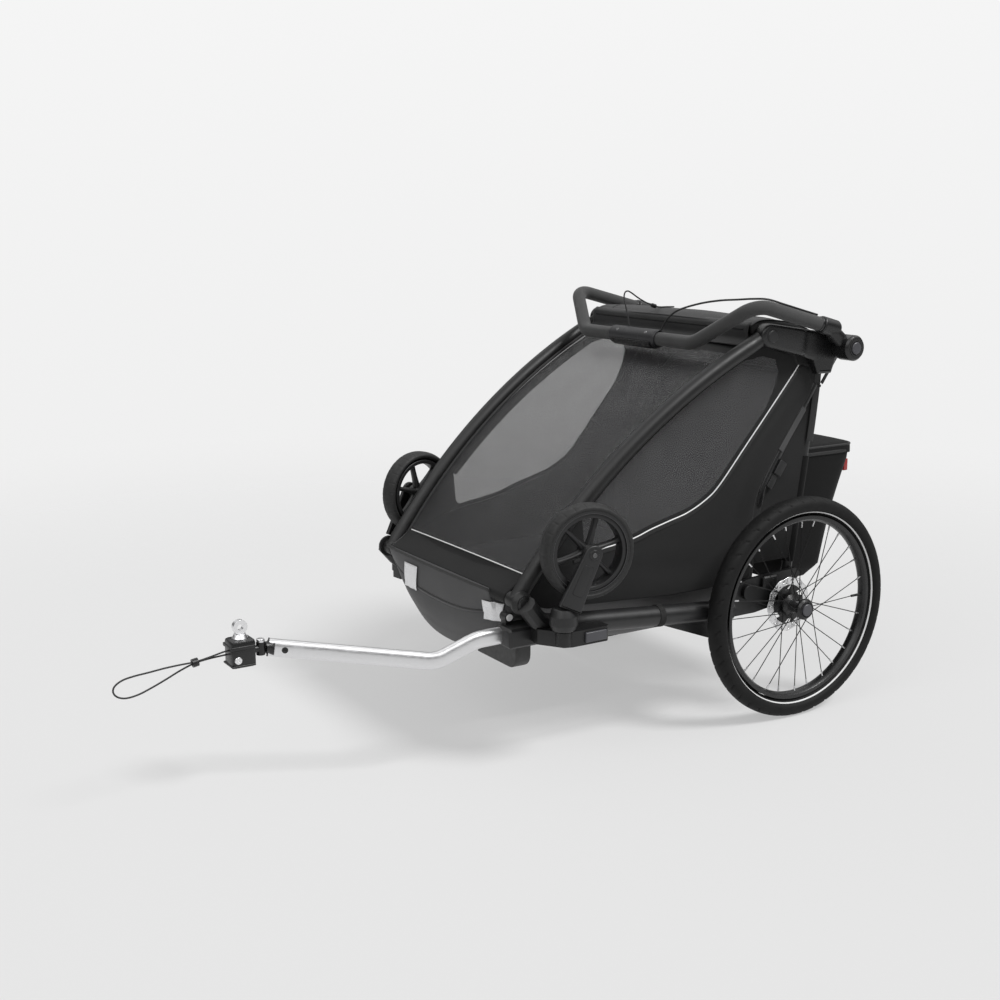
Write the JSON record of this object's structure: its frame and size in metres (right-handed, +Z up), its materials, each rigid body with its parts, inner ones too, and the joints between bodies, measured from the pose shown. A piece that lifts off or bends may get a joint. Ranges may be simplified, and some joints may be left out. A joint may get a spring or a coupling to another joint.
{
  "type": "double bike trailer",
  "caption": "Folding two-seat child trailer on spoked wheels, with stowed casters, a tilting push bar, a rear bag and a cranked hitch arm to a rear axle.",
  "frame": {"origin": "middle of the base on the floor, without the cords", "axes": "+X to the trailer's left, +Y to its rear, +Z up; the hitch points along -Y"},
  "size_m": [0.7864, 1.7422, 0.9447],
  "materials": {
    "black_plastic": "moulded, fine texture",
    "black_tube": "satin powder coat",
    "tyre_rubber": "matte, white sidewall line",
    "foam_grip": "matte foam",
    "black_fabric": "woven",
    "tinted_film": "glossy tinted film and mesh",
    "slate_plastic": "satin blue-grey",
    "silver": "satin",
    "steel": "brushed",
    "white_plastic": "smooth",
    "cord_black": "braided"
  },
  "bodies": {
    "chassis": {"side_tube_left": "black_tube", "side_tube_right": "black_tube", "rear_corner_left": "black_plastic", "rear_corner_right": "black_plastic", "cross_tube": "black_tube", "front_corner_left": "black_plastic", "front_corner_right": "black_plastic", "front_bar": "black_tube", "floor_tub": "black_fabric", "bench_cushion": "black_fabric", "side_fabric_left": "black_fabric", "side_fabric_right": "black_fabric", "hitch_receiver": "black_plastic", "receiver_pad": "foam_grip", "hitch_arm": "silver", "arm_cap": "black_plastic"},
    "front_frame": {"front_tube": "black_tube", "top_arm_left": "black_plastic", "top_arm_right": "black_plastic", "front_cover": "tinted_film", "roof": "black_fabric", "side_window_left": "tinted_film", "side_window_right": "tinted_film"},
    "back_frame": {"back_tube": "black_tube", "seat_back": "black_fabric", "cargo_bag": "black_fabric"},
    "bag_flap": {"bag_flap": "black_fabric"},
    "handlebar": {"handlebar": "foam_grip", "bar_hub_left": "black_plastic", "bar_hub_right": "black_plastic", "brake_housing": "slate_plastic", "brake_cable": "foam_grip", "wrist_strap": "cord_black", "strap_lock": "black_plastic"},
    "brake_lever": {"brake_lever": "black_plastic"},
    "receiver_button": {"receiver_button": "white_plastic"},
    "coupling": {"coupling_body": "black_plastic", "leash": "cord_black", "leash_lock": "black_plastic"},
    "coupling_eye": {"coupling_eye": "silver"},
    "swing_arm_left": {"swing_arm_left": "silver"},
    "rear_wheel_left": {"rear_tyre_left": "tyre_rubber", "wheel_rim_left": "black_tube", "brake_rotor_left": "steel"},
    "wheel_button_left": {"wheel_button_left": "slate_plastic"},
    "caster_left": {"caster_fork_left": "black_plastic"},
    "caster_wheel_left": {"caster_tyre_left": "tyre_rubber", "caster_rim_left": "black_plastic"},
    "caster_release_left": {"caster_release_left": "slate_plastic"},
    "fold_button_left": {"fold_button_left": "slate_plastic"},
    "swing_arm_right": {"swing_arm_right": "silver"},
    "rear_wheel_right": {"rear_tyre_right": "tyre_rubber", "wheel_rim_right": "black_tube", "brake_rotor_right": "steel"},
    "wheel_button_right": {"wheel_button_right": "slate_plastic"},
    "caster_right": {"caster_fork_right": "black_plastic"},
    "caster_wheel_right": {"caster_tyre_right": "tyre_rubber", "caster_rim_right": "black_plastic"},
    "caster_release_right": {"caster_release_right": "slate_plastic"},
    "fold_button_right": {"fold_button_right": "slate_plastic"}
  },
  "joints": [
    {"name": "frame_fold", "type": "hinge", "parent": "chassis", "child": "front_frame", "pos_m": [0, -0.21, 0.353], "axis": [-1, 0, 0], "range_deg": [0, 25], "deforming": ["side_fabric_left", "side_fabric_right", "roof"]},
    {"name": "back_fold", "type": "hinge", "parent": "chassis", "child": "back_frame", "pos_m": [0, 0.535, 0.31], "axis": [-1, 0, 0], "range_deg": [0, 50]},
    {"name": "bag_flap_hinge", "type": "hinge", "parent": "back_frame", "child": "bag_flap", "pos_m": [0, 0.56, 0.5853], "axis": [1, 0, 0], "range_deg": [0, 65]},
    {"name": "handlebar_tilt", "type": "hinge", "parent": "front_frame", "child": "handlebar", "pos_m": [0, 0.62, 0.828], "axis": [-1, 0, 0], "range_deg": [0, 180]},
    {"name": "brake_pull", "type": "hinge", "parent": "handlebar", "child": "brake_lever", "pos_m": [0, 0.29, 0.843], "axis": [1, 0, 0], "range_deg": [0, 18], "stiffness_Nm_per_rad": 0.4, "springref_deg": -5.73},
    {"name": "receiver_button_press", "type": "slide", "parent": "chassis", "child": "receiver_button", "axis": [-1, 0, 0], "range_m": [0, 0.0025], "stiffness_N_per_m": 400, "springref_m": -0.002},
    {"name": "coupling_yaw", "type": "hinge", "parent": "chassis", "child": "coupling", "pos_m": [0.09, -0.69, 0.286], "axis": [0, 0, 1], "range_deg": [-45, 45]},
    {"name": "coupling_eye_turn", "type": "hinge", "parent": "coupling", "child": "coupling_eye", "pos_m": [0.09, -0.732, 0.33], "axis": [0, 0, 1], "range_deg": [-90, 90]},
    {"name": "swing_left", "type": "hinge", "parent": "chassis", "child": "swing_arm_left", "pos_m": [0.3, 0.387, 0.29], "axis": [1, 0, 0], "range_deg": [-6, 8], "stiffness_Nm_per_rad": 500, "springref_deg": -0.8},
    {"name": "wheel_spin_left", "type": "hinge", "parent": "swing_arm_left", "child": "rear_wheel_left", "pos_m": [0.35, 0.49, 0.2525], "axis": [1, 0, 0], "continuous": true},
    {"name": "wheel_button_press_left", "type": "slide", "parent": "rear_wheel_left", "child": "wheel_button_left", "axis": [-1, 0, 0], "range_m": [0, 0.003], "stiffness_N_per_m": 400, "springref_m": -0.002},
    {"name": "caster_swivel_left", "type": "hinge", "parent": "chassis", "child": "caster_left", "pos_m": [0.352, -0.15, 0.29], "axis": [0, 0, -1], "range_deg": [-10, 60]},
    {"name": "caster_spin_left", "type": "hinge", "parent": "caster_left", "child": "caster_wheel_left", "pos_m": [0.352, -0.095, 0.459], "axis": [0.9781, -0.2079, 0], "continuous": true},
    {"name": "caster_release_press_left", "type": "slide", "parent": "chassis", "child": "caster_release_left", "axis": [-1, 0, 0], "range_m": [0, 0.004], "stiffness_N_per_m": 400, "springref_m": -0.002},
    {"name": "fold_button_press_left", "type": "slide", "parent": "handlebar", "child": "fold_button_left", "axis": [-1, 0, 0], "range_m": [0, 0.004], "stiffness_N_per_m": 400, "springref_m": -0.002},
    {"name": "swing_right", "type": "hinge", "parent": "chassis", "child": "swing_arm_right", "pos_m": [-0.3, 0.387, 0.29], "axis": [1, 0, 0], "range_deg": [-6, 8], "stiffness_Nm_per_rad": 500, "springref_deg": -0.8},
    {"name": "wheel_spin_right", "type": "hinge", "parent": "swing_arm_right", "child": "rear_wheel_right", "pos_m": [-0.35, 0.49, 0.2525], "axis": [1, 0, 0], "continuous": true},
    {"name": "wheel_button_press_right", "type": "slide", "parent": "rear_wheel_right", "child": "wheel_button_right", "axis": [1, 0, 0], "range_m": [0, 0.003], "stiffness_N_per_m": 400, "springref_m": -0.002},
    {"name": "caster_swivel_right", "type": "hinge", "parent": "chassis", "child": "caster_right", "pos_m": [-0.352, -0.15, 0.29], "axis": [0, 0, 1], "range_deg": [-10, 60]},
    {"name": "caster_spin_right", "type": "hinge", "parent": "caster_right", "child": "caster_wheel_right", "pos_m": [-0.352, -0.095, 0.459], "axis": [0.9781, 0.2079, 0], "continuous": true},
    {"name": "caster_release_press_right", "type": "slide", "parent": "chassis", "child": "caster_release_right", "axis": [1, 0, 0], "range_m": [0, 0.004], "stiffness_N_per_m": 400, "springref_m": -0.002},
    {"name": "fold_button_press_right", "type": "slide", "parent": "handlebar", "child": "fold_button_right", "axis": [1, 0, 0], "range_m": [0, 0.004], "stiffness_N_per_m": 400, "springref_m": -0.002}
  ],
  "couplings": [
    {"joint": "back_fold", "follows": "frame_fold", "ratio": 1.998}
  ]
}
